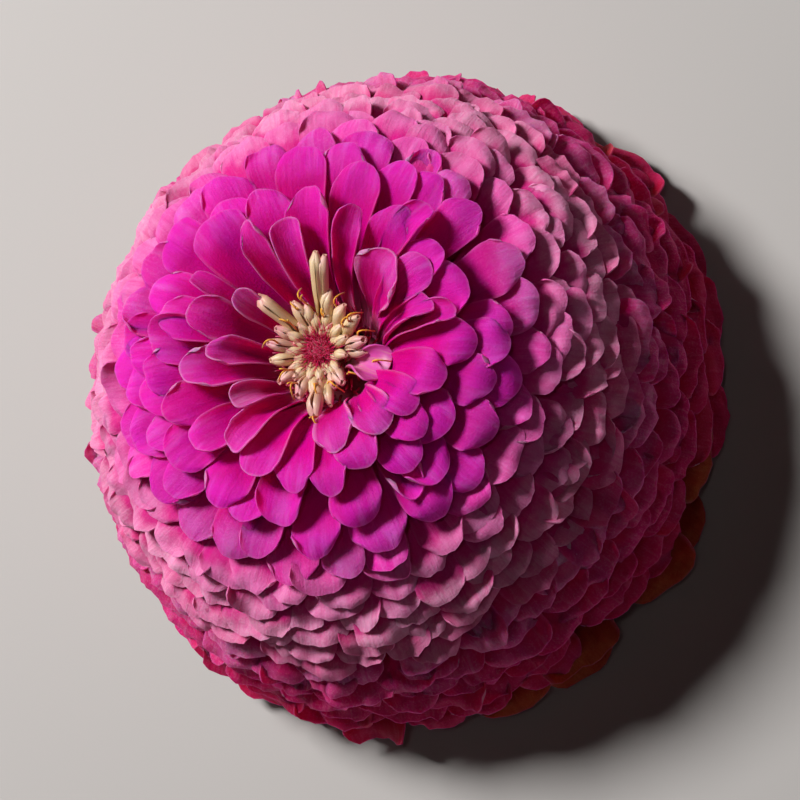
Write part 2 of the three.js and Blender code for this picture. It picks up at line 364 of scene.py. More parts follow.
petalMarks = {  # ranges: from low, from high, to low, to high
    "veinScales": (15.0, 3.0, 60.0), "streakScales": (5.0, 2.6, 37.0),  # across, along, and from petal to petal
    "grainScale": 2700.0, "patchScale": 330.0,
    "rimStart": (0.18, 0.3, 0.77, 0.88), "rimDepth": (0.75, 0.45), "tipRim": (0.955, 1.0),
    "rimByAge": (0.3, 0.18, 0.13, 0.6),
    "deepeningAndShade": (0.13, 0.4), "deepeningByAge": (0.4, 0.52, 1.0, 1.7),
    "deepeningDrift": 0.24, "deepeningShare": 0.95,
    "mottle": (0.42, 0.66, 0.0, 0.14), "speckle": (0.48, 0.7, 0.0, 0.3),
    "deepVeins": (0.5, 0.32, 0.0, 0.27), "paleVeins": (0.52, 0.7, 0.0, 0.27), "hiddenInShade": 0.8,
    "lilac": (0.44, 0.8, 0.1, 0.6), "lilacDepth": (0.42, 0.0), "lilacByAge": (0.4, 0.5, 1.0, 0.45),
    "claw": (0.16, 0.03, 0.0, 0.45), "reverseShare": 0.5,
    "brightness": (0.2, 0.88), "veinHeight": 1.2, "grainHeight": 0.8, "bump": (0.8, 0.00016),
}
petalGloss = {
    "Roughness": 0.55, "Specular IOR Level": 0.04,
    "Sheen Weight": 0.03, "Sheen Roughness": 0.4, "Sheen Tint": tone(255, 200, 232),
}
deepGlow = {"Subsurface Weight": 0.65, "Subsurface Radius": (1.0, 0.1, 0.4), "Subsurface Scale": 0.0022}
paleGlow = {"Subsurface Weight": 0.3, "Subsurface Radius": (1.0, 0.3, 0.5), "Subsurface Scale": 0.0011}


# Velvety face of the petals: colour by age that deepens towards the claw, partly the petal's own deeper base and
# partly painted shade under the petals above; a paler rim, partly painted highlight; lilac streaks near the tips,
# partly painted sheen highlight; fine veins and a soft mottle.
def petalFinish(name, reverse, glow):
    finish, tree, shader = startFinish(name)
    marks = petalMarks
    age, luck, depth = readAttributes(tree, "age", "luck", "depth")
    across, along = readPetalMap(tree)
    objectPlace = addNode(tree, "ShaderNodeTexCoord").outputs["Object"]
    veins = noiseNode(tree, growthPlace(tree, (across, depth, luck), marks["veinScales"]), 1.0, 3.0, 0.6)
    streaks = noiseNode(tree, growthPlace(tree, (across, depth, luck), marks["streakScales"]), 1.0, 2.0)
    grain = noiseNode(tree, objectPlace, marks["grainScale"], 3.0)
    patches = noiseNode(tree, objectPlace, marks["patchScale"], 4.0)

    # A paler rim on the edges: on young petals partly their own pale edge, partly a painted highlight where the edge
    # catches light.
    offCentre = mathNode(tree, "ABSOLUTE", scaleAndShift(tree, across, 2.0, -1.0))
    sideRim = rangeNode(tree, offCentre, rangeNode(tree, age, *marks["rimStart"]), 1.0)
    sideRim = multiply(tree, sideRim, rangeNode(tree, depth, *marks["rimDepth"]))
    rim = mathNode(tree, "MAXIMUM", sideRim, rangeNode(tree, along, *marks["tipRim"]))
    rim = multiply(tree, rim, rangeNode(tree, age, *marks["rimByAge"]))

    ramps = [petalColours[key] for key in ("face", "deep", "light", "lilac")]
    colour, deep, light, lilac = [rampNode(tree, age, stops) for stops in ramps]
    # Painted shade: towards the claw, where the petals above cover it, the colour deepens; this is partly the
    # petal's own deeper base.
    drift = scaleAndShift(tree, patches, marks["deepeningDrift"], -marks["deepeningDrift"] / 2)
    sunk = multiply(tree, mathNode(tree, "ADD", depth, drift), rangeNode(tree, age, *marks["deepeningByAge"]))
    deepeningAndShade = rangeNode(tree, sunk, *marks["deepeningAndShade"])
    colour = mixColours(tree, multiply(tree, deepeningAndShade, marks["deepeningShare"]), colour, deep)
    colour = mixColours(tree, rangeNode(tree, patches, *marks["mottle"]), colour, deep)
    # Speckle and pale veins fade out where this painted shade lies.
    shown = scaleAndShift(tree, deepeningAndShade, -marks["hiddenInShade"], 1.0)
    speckle = multiply(tree, rangeNode(tree, grain, *marks["speckle"]), shown)
    colour = mixColours(tree, speckle, colour, light)
    colour = mixColours(tree, rangeNode(tree, veins, *marks["deepVeins"]), colour, deep)
    paleVeins = multiply(tree, rangeNode(tree, veins, *marks["paleVeins"]), shown)
    colour = mixColours(tree, paleVeins, colour, light)
    # Lilac streaks near the tips: partly pale streaks, partly a painted sheen highlight.
    lilacShare = rangeNode(tree, streaks, *marks["lilac"])
    lilacShare = multiply(tree, lilacShare, rangeNode(tree, depth, *marks["lilacDepth"]))
    lilacShare = multiply(tree, lilacShare, rangeNode(tree, age, *marks["lilacByAge"]))
    colour = mixColours(tree, lilacShare, colour, lilac)
    colour = mixColours(tree, rim, colour, petalColours["rim"])
    colour = mixColours(tree, rangeNode(tree, along, *marks["claw"]), colour, petalColours["claw"])
    if reverse:
        colour = mixColours(tree, marks["reverseShare"], colour, petalColours["reverse"])
    colour = varyBrightness(tree, colour, luck, *marks["brightness"])
    height = mathNode(tree, "ADD", multiply(tree, veins, marks["veinHeight"]),
                      multiply(tree, grain, marks["grainHeight"]))
    closeFinish(tree, shader, colour, height, marks["bump"], {**petalGloss, **glow})
    return finish


floretLook = {
    "cream": [(0.0, 196, 170, 96), (0.4, 220, 196, 140), (0.8, 230, 204, 162), (1.0, 228, 170, 156)],
    "pink": [(0.0, 216, 150, 140), (0.3, 214, 100, 168), (0.6, 208, 62, 170), (1.0, 196, 36, 162)],
    "pinkness": (0.1, 0.18, 0.05, 0.95), "drift": 0.16,
    "vein": tone(206, 172, 120), "veinScales": (12.0, 1.0, 60.0), "veinRange": (0.45, 0.65), "veinShare": 0.3,
    "bump": (0.4, 0.00015),
    "sockets": {"Roughness": 0.45, "Subsurface Weight": 0.25, "Subsurface Radius": (1.0, 0.7, 0.35),
                "Subsurface Scale": 0.001},
}


# Waxy cream of the young florets, yellower at the root. The older a floret is, the pinker its tip.
def floretFinish(name):
    finish, tree, shader = startFinish(name)
    look = floretLook
    luck, age = readAttributes(tree, "luck", "age")
    across, along = readPetalMap(tree)
    reach = mathNode(tree, "ADD", along, scaleAndShift(tree, luck, look["drift"], -look["drift"] / 2))
    cream, pink = [rampNode(tree, reach, look[key]) for key in ("cream", "pink")]
    colour = mixColours(tree, rangeNode(tree, age, *look["pinkness"]), cream, pink)
    veins = noiseNode(tree, growthPlace(tree, (across, along, luck), look["veinScales"]), 1.0, 2.0)
    veinShare = multiply(tree, rangeNode(tree, veins, *look["veinRange"]), look["veinShare"])
    colour = mixColours(tree, veinShare, colour, look["vein"])
    closeFinish(tree, shader, colour, veins, look["bump"], look["sockets"])
    return finish


shadedLook = {"detail": 4.0, "drift": 0.3, "brightness": (0.3, 0.85), "bump": (0.5, 0.0001)}


# A colour that runs along a piece from its root to its tip, with a fine grain.
def shadedFinish(name, stops, grainScale, roughness, sheen):
    finish, tree, shader = startFinish(name)
    along, luck = readAttributes(tree, "along", "luck")
    objectPlace = addNode(tree, "ShaderNodeTexCoord").outputs["Object"]
    look = shadedLook
    grain = noiseNode(tree, objectPlace, grainScale, look["detail"])
    drift = scaleAndShift(tree, grain, look["drift"], -look["drift"] / 2)
    colour = rampNode(tree, mathNode(tree, "ADD", along, drift), stops)
    colour = varyBrightness(tree, colour, luck, *look["brightness"])
    closeFinish(tree, shader, colour, grain, look["bump"], {"Roughness": roughness, "Sheen Weight": sheen})
    return finish


petalFace = petalFinish("petalFace", False, paleGlow)
petalReverse = petalFinish("petalReverse", True, paleGlow)
deepFace = petalFinish("deepPetalFace", False, deepGlow)
deepReverse = petalFinish("deepPetalReverse", True, deepGlow)
print("petal finishes made")

bladeShapes = {  # widths are shares of the full width, folds are degrees across, positive with the edges up
    "channel": {"tipLength": 3.5, "claw": 0.42, "clawAt": 1.0, "fold": 150, "tipFold": 95},
    "spoon": {"tipLength": 3.5, "claw": 0.34, "clawAt": 0.95, "fold": 100, "tipFold": -15},
    "cup": {"tipLength": 3.5, "claw": 0.3, "clawAt": 0.95, "fold": 120, "tipFold": 75},
    "scoop": {"tipLength": 3.5, "claw": 0.26, "clawAt": 0.9, "fold": 110, "tipFold": 48},
    "hook": {"tipLength": 3.5, "claw": 0.26, "clawAt": 0.9, "fold": 120, "tipFold": 165},
    "shell": {"tipLength": 3.2, "claw": 0.2, "clawAt": 0.75, "fold": 14, "tipFold": -34},
    "awning": {"tipLength": 3.0, "claw": 0.18, "clawAt": 0.6, "fold": -6, "tipFold": -26},
    "guard": {"tipLength": 4.5, "claw": 0.16, "clawAt": 0.8, "fold": -10, "tipFold": -24},
}

# Petals round the heart, placed one by one: angle of the tip, azimuth, width, shape, tilt, roll, reflex.
placedPetals = [
    (15.5, 89, 4.6, "channel", 0, 0, 5), (16, 161, 5.2, "channel", 0, 0, 5), (17.5, 123, 5.6, "channel", 0, 0, 5),
    (22, 43, 5.6, "channel", 0, 0, 8), (24.5, 60, 5.6, "channel", 0, 10, 10), (21.5, 339, 11.4, "scoop", 12, 10, 2),
    (22.5, 176, 6, "channel", 0, -8, 22), (21.5, 233, 7.4, "spoon", 0, 0, 30), (23.5, 255, 7.2, "spoon", 0, 0, 42),
    (22, 106, 7.6, "cup", 0, 0, 10), (23, 135, 8.2, "cup", 0, 0, 10), (24.5, 90, 4, "channel", 8, -30, 10),
    (25, 9, 5, "channel", 0, -18, 10), (25, 193, 7.2, "spoon", 0, 0, 20), (25, 312, 5.6, "channel", 6, 32, 20),
    (26.5, 241, 7.6, "spoon", -4, 0, 36), (28, 30, 8.2, "cup", -4, 0, 10), (28, 106, 7.4, "spoon", 0, 0, 16),
    (28, 283, 7.8, "spoon", 0, 0, 46), (28.5, 147, 8, "spoon", 0, 0, 16), (28.5, 225, 6.4, "spoon", 0, 0, 34),
    (28.5, 309, 5.2, "channel", 0, 26, 20), (29.5, 353, 6.6, "spoon", 4, -10, 24), (30, 47, 7.2, "spoon", 0, 0, 16),
    (30, 117, 8.4, "cup", 2, 8, 12), (30.5, 72, 9.2, "spoon", 0, 0, 14), (31.5, 252, 6.6, "spoon", 0, 12, 34),
    (32, 269, 8.8, "shell", 0, 0, 38), (32, 297, 7.2, "spoon", 0, 0, 40), (32.5, 62, 7.8, "spoon", 0, 0, 18),
    (32.5, 346, 5.6, "channel", 0, 24, 30), (33, 160, 8, "spoon", 0, 0, 24), (33, 203, 8.4, "cup", 4, -6, 16),
    (33.5, 178, 8, "shell", 0, 0, 26), (34, 98, 7.6, "spoon", 0, 0, 20), (34.5, 15, 7.4, "spoon", 0, 0, 20),
    (35, 231, 8, "shell", 0, 0, 40), (35.5, 249, 8, "hook", 14, 10, -6), (36, 258, 8, "scoop", 4, 8, 14),
    (36, 285, 7.6, "shell", 0, 0, 44), (37.5, 4, 7, "spoon", 0, 0, 22), (37.5, 298, 7.6, "shell", 0, 0, 40),
    (38, 37, 7.8, "spoon", 0, 0, 24), (38, 305, 7.6, "shell", 0, 0, 40), (38.5, 82, 8.6, "shell", 0, 0, 24),
    (39, 214, 7.6, "shell", 0, 0, 34), (39, 272, 8, "shell", 0, 0, 44), (39.5, 338, 7, "shell", 0, 0, 34),
    (40.5, 289, 8.2, "shell", 0, 0, 42), (41, 249, 8, "shell", 0, 0, 40), (42, 186, 8.2, "shell", 0, 0, 30),
    (42, 321, 8.4, "shell", 0, 0, 34), (42.5, 17, 8.2, "shell", 0, 0, 28), (42.5, 47, 6.8, "shell", 0, 0, 28),
    (43, 0, 9, "hook", 18, -10, -8), (26.5, 328, 6.8, "spoon", 0, 0, 24), (29.5, 332, 7.2, "spoon", 0, 0, 26),
    (25.5, 270, 6.4, "spoon", -2, 0, 36), (29, 262, 7, "spoon", 0, 0, 36), (27, 208, 7, "spoon", 0, 0, 28),
]
placedHabit = {"wider": 1.14, "widerRange": (27, 33), "tiltSpread": 4, "rollSpread": 9, "reflexLength": 6.0}

spiralPetals = {
    "from": 97.6, "to": 29.0, "angleSpread": 0.9, "azimuthSpread": 4,
    "clearance": 4.9,  # from the tips of the placed petals
    "gapFill": 6.1, "gapTries": 900, "gapFrom": 50, "gapTo": 26,
    # Painted shade: the lowest petals at these azimuths, on the side away from the key light, take the orange-brown
    # colour of this age.
    "weathered": (210, 292), "weatheredFrom": 92, "weatheredAge": 97,
    "curled": 0.26, "curledRange": (44, 54), "curledLate": 0.4,
    "curledFold": 84, "curledTilt": 7, "curledReflex": 0.4,
    "widthSpread": (0.82, 1.18), "tiltSpread": 4.5, "rollSpread": 7,
    "reflexLength": (2, 4), "reflexSpread": (0.2, 2.2),
    "area": [(29, 37), (42, 31), (50, 27), (58, 26), (66, 30), (78, 38), (90, 52), (98, 64)],  # mm2 for each petal
    "width": [(29, 8.2), (42, 9.2), (55, 9.5), (65, 10.0), (78, 11.6), (88, 13.2), (98, 14.6)],
    "reflex": [(29, 24), (42, 20), (55, 13), (66, 12), (80, 10), (90, 6), (98, 2)],
    "shapes": [(93, "guard"), (45, "awning"), (30, "shell"), (0, "spoon")],
}

petalVariety = {  # how strong each difference is in young petals and in old ones
    "lift": (0.5, 1.0), "round": (0.9, 0.5), "point": (0.3, 0.14), "skew": (0.8, 1.0), "notch": (0.0, 1.0),
    "foldDrift": (15, 20), "crease": (0.5, 1.0), "lean": (0.45, 0.7), "buckle": (0.4, 0.95), "ragged": (0.2, 0.5),
    "ruffle": (0.15, 0.85),
}
oldRange = (36, 60)


# What sets one petal apart from the next.
def vary(petal, dice):
    old = easeIn(*oldRange, petal["angle"])
    amount = {key: blend(young, late, old) for key, (young, late) in petalVariety.items()}
    petal["luck"] = dice.random()
    petal["lift"] = dice.uniform(-0.8, 0.5) * amount["lift"]
    petal["swing"] = dice.uniform(-1.0, 1.0)
    petal["age"] = petal["angle"] + dice.uniform(-2.4, 2.4)
    lowest = spiralPetals["weatheredFrom"]
    if petal["angle"] > lowest:  # on the side away from the key light the lowest petals get the orange-brown of the oldest age, a painted shade
        low, high = spiralPetals["weathered"]
        inPaintedShade = low < petal["azimuth"] < high
        petal["age"] = spiralPetals["weatheredAge"] if inPaintedShade else min(petal["age"], lowest)
    petal["round"] = amount["round"] * dice.uniform(0.8, 1.2)
    petal["point"] = dice.uniform(0.0, amount["point"])
    petal["skew"] = dice.uniform(-0.3, 0.3) * amount["skew"]
    petal["notch"] = dice.choice((0.0, 0.0, 0.4, 0.7)) * amount["notch"]
    petal["notchAt"] = dice.uniform(-0.4, 0.4)
    petal["foldDrift"] = dice.gauss(0, 1) * amount["foldDrift"]
    petal["crease"] = dice.choice((0.0, 0.0, 0.25, 0.5)) * amount["crease"]
    petal["creaseAt"] = dice.uniform(-0.5, 0.5)
    petal["lean"] = dice.gauss(0, 1) * amount["lean"]
    petal["buckleSize"] = dice.uniform(3.0, 5.0)
    for key in ("buckle", "ragged", "ruffle"):
        petal[key] = amount[key]
    fewer = easeIn(*spiralPetals["curledRange"], petal["angle"])
    curlShare = petal.get("curls", 0) * blend(1.0, spiralPetals["curledLate"], fewer)
    if petal["luck"] < curlShare:  # some cup their edges up
        petal["foldDrift"] += spiralPetals["curledFold"]
        petal["tilt"] += spiralPetals["curledTilt"]
        petal["reflex"] *= spiralPetals["curledReflex"]
    return petal


# How far apart two tips are over the dome.
def tipGap(first, second):
    aside = ((first["azimuth"] - second["azimuth"] + 180) % 360 - 180) * math.sin(math.radians(first["angle"]))
    return math.hypot(first["angle"] - second["angle"], aside) * math.radians(domeForm["radius"])


def isClear(petal, others, gap):
    return all(tipGap(petal, other) > gap for other in others)


def spiralPetal(angle, azimuth, dice):
    form = spiralPetals
    shape = next(name for lowest, name in form["shapes"] if angle > lowest)
    return {
        "angle": angle, "azimuth": azimuth % 360, "shape": bladeShapes[shape],
        "width": readOff(form["width"], angle) * dice.uniform(*form["widthSpread"]),
        "tilt": dice.gauss(0, 1) * form["tiltSpread"], "roll": dice.gauss(0, 1) * form["rollSpread"],
        "reflexLength": dice.uniform(*form["reflexLength"]),
        "reflex": readOff(form["reflex"], angle) * dice.uniform(*form["reflexSpread"]),
        "curls": form["curled"],
    }


def petalPlaces():
    dice = random.Random(11)
    form = spiralPetals
    petals = []
    tiltSpread, rollSpread = placedHabit["tiltSpread"], placedHabit["rollSpread"]
    for angle, azimuth, width, shape, tilt, roll, reflex in placedPetals:
        width *= blend(1, placedHabit["wider"], easeIn(*placedHabit["widerRange"], angle))
        petals.append({"angle": angle, "azimuth": azimuth, "width": width, "shape": bladeShapes[shape],
                       "tilt": tilt + dice.uniform(-tiltSpread, tiltSpread),
                       "roll": roll + dice.uniform(-rollSpread, rollSpread),
                       "reflex": reflex, "reflexLength": placedHabit["reflexLength"]})
    byHand = list(petals)
    angleSpread, azimuthSpread = form["angleSpread"], form["azimuthSpread"]
    angle = form["from"]
    turn = 0
    while angle > form["to"]:
        petal = spiralPetal(angle + dice.uniform(-angleSpread, angleSpread),
                            turn * goldenAngle + dice.uniform(-azimuthSpread, azimuthSpread), dice)
        if isClear(petal, byHand, form["clearance"]):
            petals.append(petal)
        ring = 2 * math.pi * domeForm["radius"] * math.sin(math.radians(angle))
        angle -= math.degrees(readOff(form["area"], angle) / ring / domeForm["radius"])
        turn += 1
    span = form["gapFrom"] - form["gapTo"]
    for n in range(form["gapTries"]):  # close the thin places between the placed petals
        petal = spiralPetal(form["gapFrom"] - span * n / form["gapTries"], n * goldenAngle, dice)
        if isClear(petal, petals, form["gapFill"]):
            petals.append(petal)
    return [vary(petal, dice) for petal in petals]


petalThickness = 0.24
petalPieces = {
    "magentaPetals": {"slot": "petal_magenta", "from": 0, "to": 43.5, "grid": (12, 16), "showing": 14.0,
                      "finishes": [deepFace, deepReverse]},
    "palePetals": {"slot": "petal_pale", "from": 43.5, "to": 66, "grid": (12, 14), "showing": 8.0,
                   "finishes": [petalFace, petalReverse]},
    "coralPetals": {"slot": "petal_coral", "from": 66, "to": 120, "grid": (12, 13), "showing": 8.0,
                    "finishes": [deepFace, deepReverse]},
}

allPetals = petalPlaces()
for name, band in petalPieces.items():
    bm, layers = startSheet()
    mine = [petal for petal in allPetals if band["from"] <= petal["angle"] < band["to"]]
    for petal in mine:
        petal["grid"] = band["grid"]
        petal["showing"] = band["showing"]
        addPetal(bm, layers, petal, petalLine(petal))
    finishSheet(bm, layers, name + "Fine", petalThickness, band["finishes"], name)
    print(name, len(mine), "petals")

heart = {
    "rootR": 2.5, "rootZ": 47.0,
    "outerRange": (4, 9), "rootOut": 1.3, "rootDown": 1.0,  # the outer florets start further out and lower
    "slimmest": 0.87, "slimRange": (5, 9),
    "bow": (9, 20), "roll": 24, "thickness": 0.3, "grid": (10, 9),
    "ages": (10, 12.6, 18), "ruffles": (0.0, 0.15, 0.9), "points": (0.84, 0.66, 0.0),  # rolled, opening, open
    "florets": [  # azimuth, radius and height of the tip, width, how far it has opened
        (75, 12.4, 53.6, 6.2, 0), (56, 8.2, 51.9, 4.8, 0), (110, 8.4, 51.6, 4.8, 1), (139, 8, 51.4, 4.6, 0),
        (88, 5.8, 51.2, 4, 0), (177, 6.2, 50.8, 4.2, 0), (195, 8.6, 51.2, 5, 1), (217, 12.2, 52.4, 6.2, 1),
        (228, 10.2, 51.2, 4.4, 0), (222, 5.6, 50.6, 4, 0), (251, 8.2, 51, 4.8, 1), (277, 13.2, 51.4, 8.2, 2),
        (281, 5.8, 50.7, 4.2, 0), (309, 9.2, 52.2, 5, 1), (349, 8.4, 52, 4.8, 0), (4, 6.4, 51.3, 4.2, 0),
        (23, 14.6, 55.4, 4.6, 0), (16, 14.4, 55.2, 3.8, 0), (32, 5.6, 50.9, 4, 0), (328, 9, 52.2, 4.8, 0),
        (313, 5.8, 51.1, 4, 0), (262, 5.6, 50.4, 4, 0), (158, 5.6, 50.6, 4, 0), (124, 5.4, 50.8, 3.8, 0),
        (205, 5.2, 50.5, 3.8, 0), (240, 5.4, 50.3, 3.8, 0), (336, 5.8, 50.9, 4, 0), (70, 5.4, 50.9, 3.8, 0),
        (292, 8.8, 50.8, 4.8, 1), (20, 4.2, 50.4, 3.2, 0), (50, 4.4, 50.4, 3.2, 0), (104, 4.3, 50.3, 3.2, 0),
        (146, 4.4, 50.3, 3.2, 0), (190, 4.2, 50.2, 3.2, 0), (232, 4.3, 50.1, 3.2, 0), (272, 4.3, 50.2, 3.2, 0),
        (322, 4.4, 50.4, 3.2, 0), (357, 4.6, 50.5, 3.2, 0), (40, 7.4, 51.7, 4.4, 0), (94, 7.6, 51.2, 4.4, 1),
        (167, 8.4, 51, 4.6, 1), (206, 7.4, 50.8, 4.4, 0), (238, 7.6, 50.8, 4.4, 1), (8, 9.6, 52.6, 4.8, 0),
    ],
    "shapes": [
        {"tipLength": 1.9, "claw": 0.72, "clawAt": 1.0, "fold": 357, "tipFold": 350},
        {"tipLength": 2.3, "claw": 0.66, "clawAt": 1.0, "fold": 350, "tipFold": 318},
        {"tipLength": 2.4, "claw": 0.36, "clawAt": 0.9, "fold": 240, "tipFold": 96},
    ],
}


def addHeart():
    dice = random.Random(5)
    bm, layers = startSheet()
    for azimuth, tipR, tipZ, width, opened in heart["florets"]:
        outer = easeIn(*heart["outerRange"], tipR)
        rootR, rootZ = heart["rootR"] + heart["rootOut"] * outer, heart["rootZ"] - heart["rootDown"] * outer
        chord = math.degrees(math.atan2(tipZ - rootZ, tipR - rootR))
        length = math.hypot(tipZ - rootZ, tipR - rootR) * 1.02
        bow = dice.uniform(*heart["bow"])
        line = shootLine(rootR, rootZ, length, chord + bow, chord - bow)
        floret = vary({"angle": 10, "azimuth": azimuth + dice.uniform(-3, 3),
                       "width": width * blend(heart["slimmest"], 1.0, easeIn(*heart["slimRange"], tipR)),
                       "shape": heart["shapes"][opened],
                       "grid": heart["grid"], "roll": dice.uniform(-heart["roll"], heart["roll"])}, dice)
        floret.update(showing=99, ragged=0.15, buckle=0.25, crease=0, lean=0, notch=0, round=0.4,
                      swing=dice.uniform(-0.5, 0.5), foldDrift=dice.uniform(-8, 2),
                      age=heart["ages"][opened], ruffle=heart["ruffles"][opened], point=heart["points"][opened])
        addPetal(bm, layers, floret, line)
    creamFloret = floretFinish("creamFloret")
    finishSheet(bm, layers, "youngFloretsFine", heart["thickness"], [creamFloret], "youngFlorets")


addHeart()
print("young florets made")


# A thin strand: a ring that is extruded and carried from point to point, closed at both ends.
def addStrand(bm, layers, points, radii, sides, luck):
    heading = Vector((0, 0, 1))
    last = None
    ring = None
    for n, (point, radius) in enumerate(zip(points, radii)):
        ahead = points[min(n + 1, len(points) - 1)] - points[max(n - 1, 0)]
        turn = heading.rotation_difference(ahead.normalized()).to_matrix().to_4x4()
        place = Matrix.Translation(point) @ turn @ Matrix.Diagonal((radius, radius, radius, 1))
        if ring is None:
            ring = bmesh.ops.create_circle(bm, cap_ends=True, segments=sides, radius=1, matrix=place)["verts"]
            edges = list({edge for vert in ring for edge in vert.link_edges})
        else:
            grown = bmesh.ops.extrude_edge_only(bm, edges=edges)["geom"]
            ring = [item for item in grown if isinstance(item, bmesh.types.BMVert)]
            edges = [item for item in grown if isinstance(item, bmesh.types.BMEdge)
                     and all(vert in ring for vert in item.verts)]
            bmesh.ops.transform(bm, matrix=place @ last.inverted(), verts=ring)
        last = place
        for vert in ring:
            vert[layers["along"]] = n / (len(points) - 1)
            vert[layers["luck"]] = luck
    bmesh.ops.contextual_create(bm, geom=edges)


def finishSolid(bm, name, finish):
    bmesh.ops.recalc_face_normals(bm, faces=bm.faces)
    return linkPiece(bm, name, [finish])


styleForm = {
    "length": 5.2, "radius": 0.2, "taper": 0.4, "sides": 6, "points": 10,
    "footZ": 48.2, "footRise": 0.28,  # the foot stands higher further out, past a radius of 6
    "lengthSpread": (0.85, 1.25), "bend": (0.5, 1.1), "lean": 1.4,
    "forkAt": 0.45, "spread": 0.6, "curlOut": 1.7, "droop": 2.6, "shortArm": (0.5, 0.9),
    "places": [(60, 7.6), (22, 6.2), (356, 8.6), (324, 8.4), (307, 9.0), (287, 12.6), (221, 13.4), (209, 7.4),
               (157, 6.6), (245, 8.0), (82, 6.4), (37, 8.4), (120, 7.4), (334, 7.2), (268, 9.6),
               (190, 7.8)],  # azimuth and radius
    "colours": [(0.0, 210, 96, 60), (0.35, 238, 140, 34), (0.8, 250, 186, 46), (1.0, 246, 200, 80)],
}


# Each style forks into a long arm and a short one, which curl outwards.
def addStyles():
    dice = random.Random(8)
    bm, layers = startSheet()
    form = styleForm
    last = form["points"] - 1
    radii = [form["radius"] * mm * (1 - form["taper"] * k / last) for k in range(form["points"])]
    for turn, reach in form["places"]:
        outward = outwardAt(math.radians(turn))
        aside = Vector((-outward.y, outward.x, 0))
        bend = dice.choice((-1, 1)) * dice.uniform(*form["bend"])
        length = form["length"] * dice.uniform(*form["lengthSpread"])
        footZ = form["footZ"] + form["footRise"] * max(0.0, reach - 6)
        foot = outward * (reach - 1.8) + Vector((0, 0, footZ))
        short = dice.uniform(*form["shortArm"])
        for arm, reachShare, outShare, droopShare in ((-1, short, 0.2, 0.5), (1, 1, 1, 1)):
            points = []
            for k in range(form["points"]):
                t = k / last * reachShare
                curl = max(0.0, t - form["forkAt"]) / (1 - form["forkAt"])
                place = foot + outward * (form["lean"] * t + form["curlOut"] * curl * curl * outShare)
                place = place + aside * (bend * math.sin(t * 2.4) + arm * form["spread"] * curl)
                rise = length * math.sin(min(1.0, t * 1.15) * 1.57)  # steep at first, then level
                place.z += rise - form["droop"] * curl ** 3 * droopShare
                points.append(place * mm)
            addStrand(bm, layers, points, radii, form["sides"], dice.random())
    orange = shadedFinish("orangeStyle", form["colours"], grainScale=3000, roughness=0.5, sheen=0.2)
    finishSolid(bm, "stylesFine", orange)


addStyles()

discForm = {
    "radius": 2.5, "domeHeight": 0.7, "topZ": 50.0,
    "fringes": 560, "fringeLength": 1.0,
    "chaff": 300, "chaffReach": 5.3, "chaffDrop": 4.3,
    "strandSides": 4, "strandSteps": (0, 0.35, 0.7, 1), "strandRadii": (0.09, 0.1, 0.075, 0.03),
    "colours": [(0.0, 150, 2, 44), (0.35, 206, 4, 78), (0.8, 224, 24, 106), (1.0, 238, 110, 156)],
}


# The eye: a low dome with a fringe of fine crimson threads, and dark chaff down the slope round it.
def addDisc():
    dice = random.Random(3)
    bm, layers = startSheet()
    radius, height = discForm["radius"], discForm["domeHeight"]
    base = discForm["topZ"] - height
    place = Matrix.Translation((0, 0, base * mm)) @ Matrix.Diagonal((radius * mm, radius * mm, height * mm, 1))
    bmesh.ops.create_uvsphere(bm, u_segments=24, v_segments=14, radius=1, matrix=place)
    for vert in bm.verts:
        vert[layers["luck"]] = 0.3
    for n in range(discForm["fringes"] + discForm["chaff"]):
        outward = outwardAt(math.radians(n * goldenAngle + dice.uniform(-8, 8)))
        aside = Vector((-outward.y, outward.x, 0))
        if n < discForm["fringes"]:
            share = math.sqrt((n + 0.5) / discForm["fringes"])
            root = outward * share * radius + Vector((0, 0, base + height * math.sqrt(max(0.0, 1 - share * share))))
            lean = math.radians(blend(-34, 70, share) + dice.uniform(-34, 30))
            length = discForm["fringeLength"] * dice.uniform(0.4, 1.6) * blend(0.7, 2.9, share ** 4)
            thick = dice.uniform(0.45, 0.8)
        else:
            share = (n - discForm["fringes"]) / discForm["chaff"]
            rootZ = base + 0.3 - discForm["chaffDrop"] * share
            root = outward * (radius + 0.2 + discForm["chaffReach"] * share) + Vector((0, 0, rootZ))
            lean = math.radians(25 + dice.uniform(-24, 24))
            length = dice.uniform(2.0, 3.6)
            thick = blend(0.7, 2.3, easeIn(0.2, 0.6, share))
        ahead = outward * math.sin(lean) + Vector((0, 0, math.cos(lean))) + aside * dice.uniform(-0.5, 0.5)
        ahead.normalize()
        curl = dice.uniform(-0.6, 0.6)
        points = [(root + ahead * (length * t - 0.25) + (outward + aside) * (curl * t * t)) * mm
                  for t in discForm["strandSteps"]]
        radii = [strand * thick * mm for strand in discForm["strandRadii"]]
        addStrand(bm, layers, points, radii, discForm["strandSides"], dice.random())
    crimson = shadedFinish("crimsonFringe", discForm["colours"], grainScale=2500, roughness=0.5, sheen=0.03)
    piece = finishSolid(bm, "discFine", crimson)
    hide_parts("disc")


addDisc()
print("styles and disc made")

cupForm = {
    "rows": [  # count, root radius and height, length, slopes, width
        (13, 4.6, 2.6, 7.5, 24, 74, 6.6), (13, 6.4, 4.2, 8.0, 46, 84, 7.0), (14, 7.9, 6.2, 8.2, 62, 92, 7.2),
        (14, 9.0, 8.6, 7.4, 76, 84, 7.0),
    ],
    "bract": {"tipLength": 3.0, "claw": 0.8, "clawAt": 1.0, "fold": -42, "tipFold": -36},
    "thickness": 0.5, "grid": (8, 8),
    "colours": [(0.0, 150, 166, 96), (0.45, 104, 132, 58), (0.86, 86, 112, 46), (0.93, 58, 46, 34),
                (1.0, 38, 26, 24)],
    "vein": tone(140, 158, 84), "veinScales": (18.0, 1.4, 60.0), "veinRange": (0.4, 0.65), "veinShare": 0.35,
    "bump": (0.6, 0.0002),
}


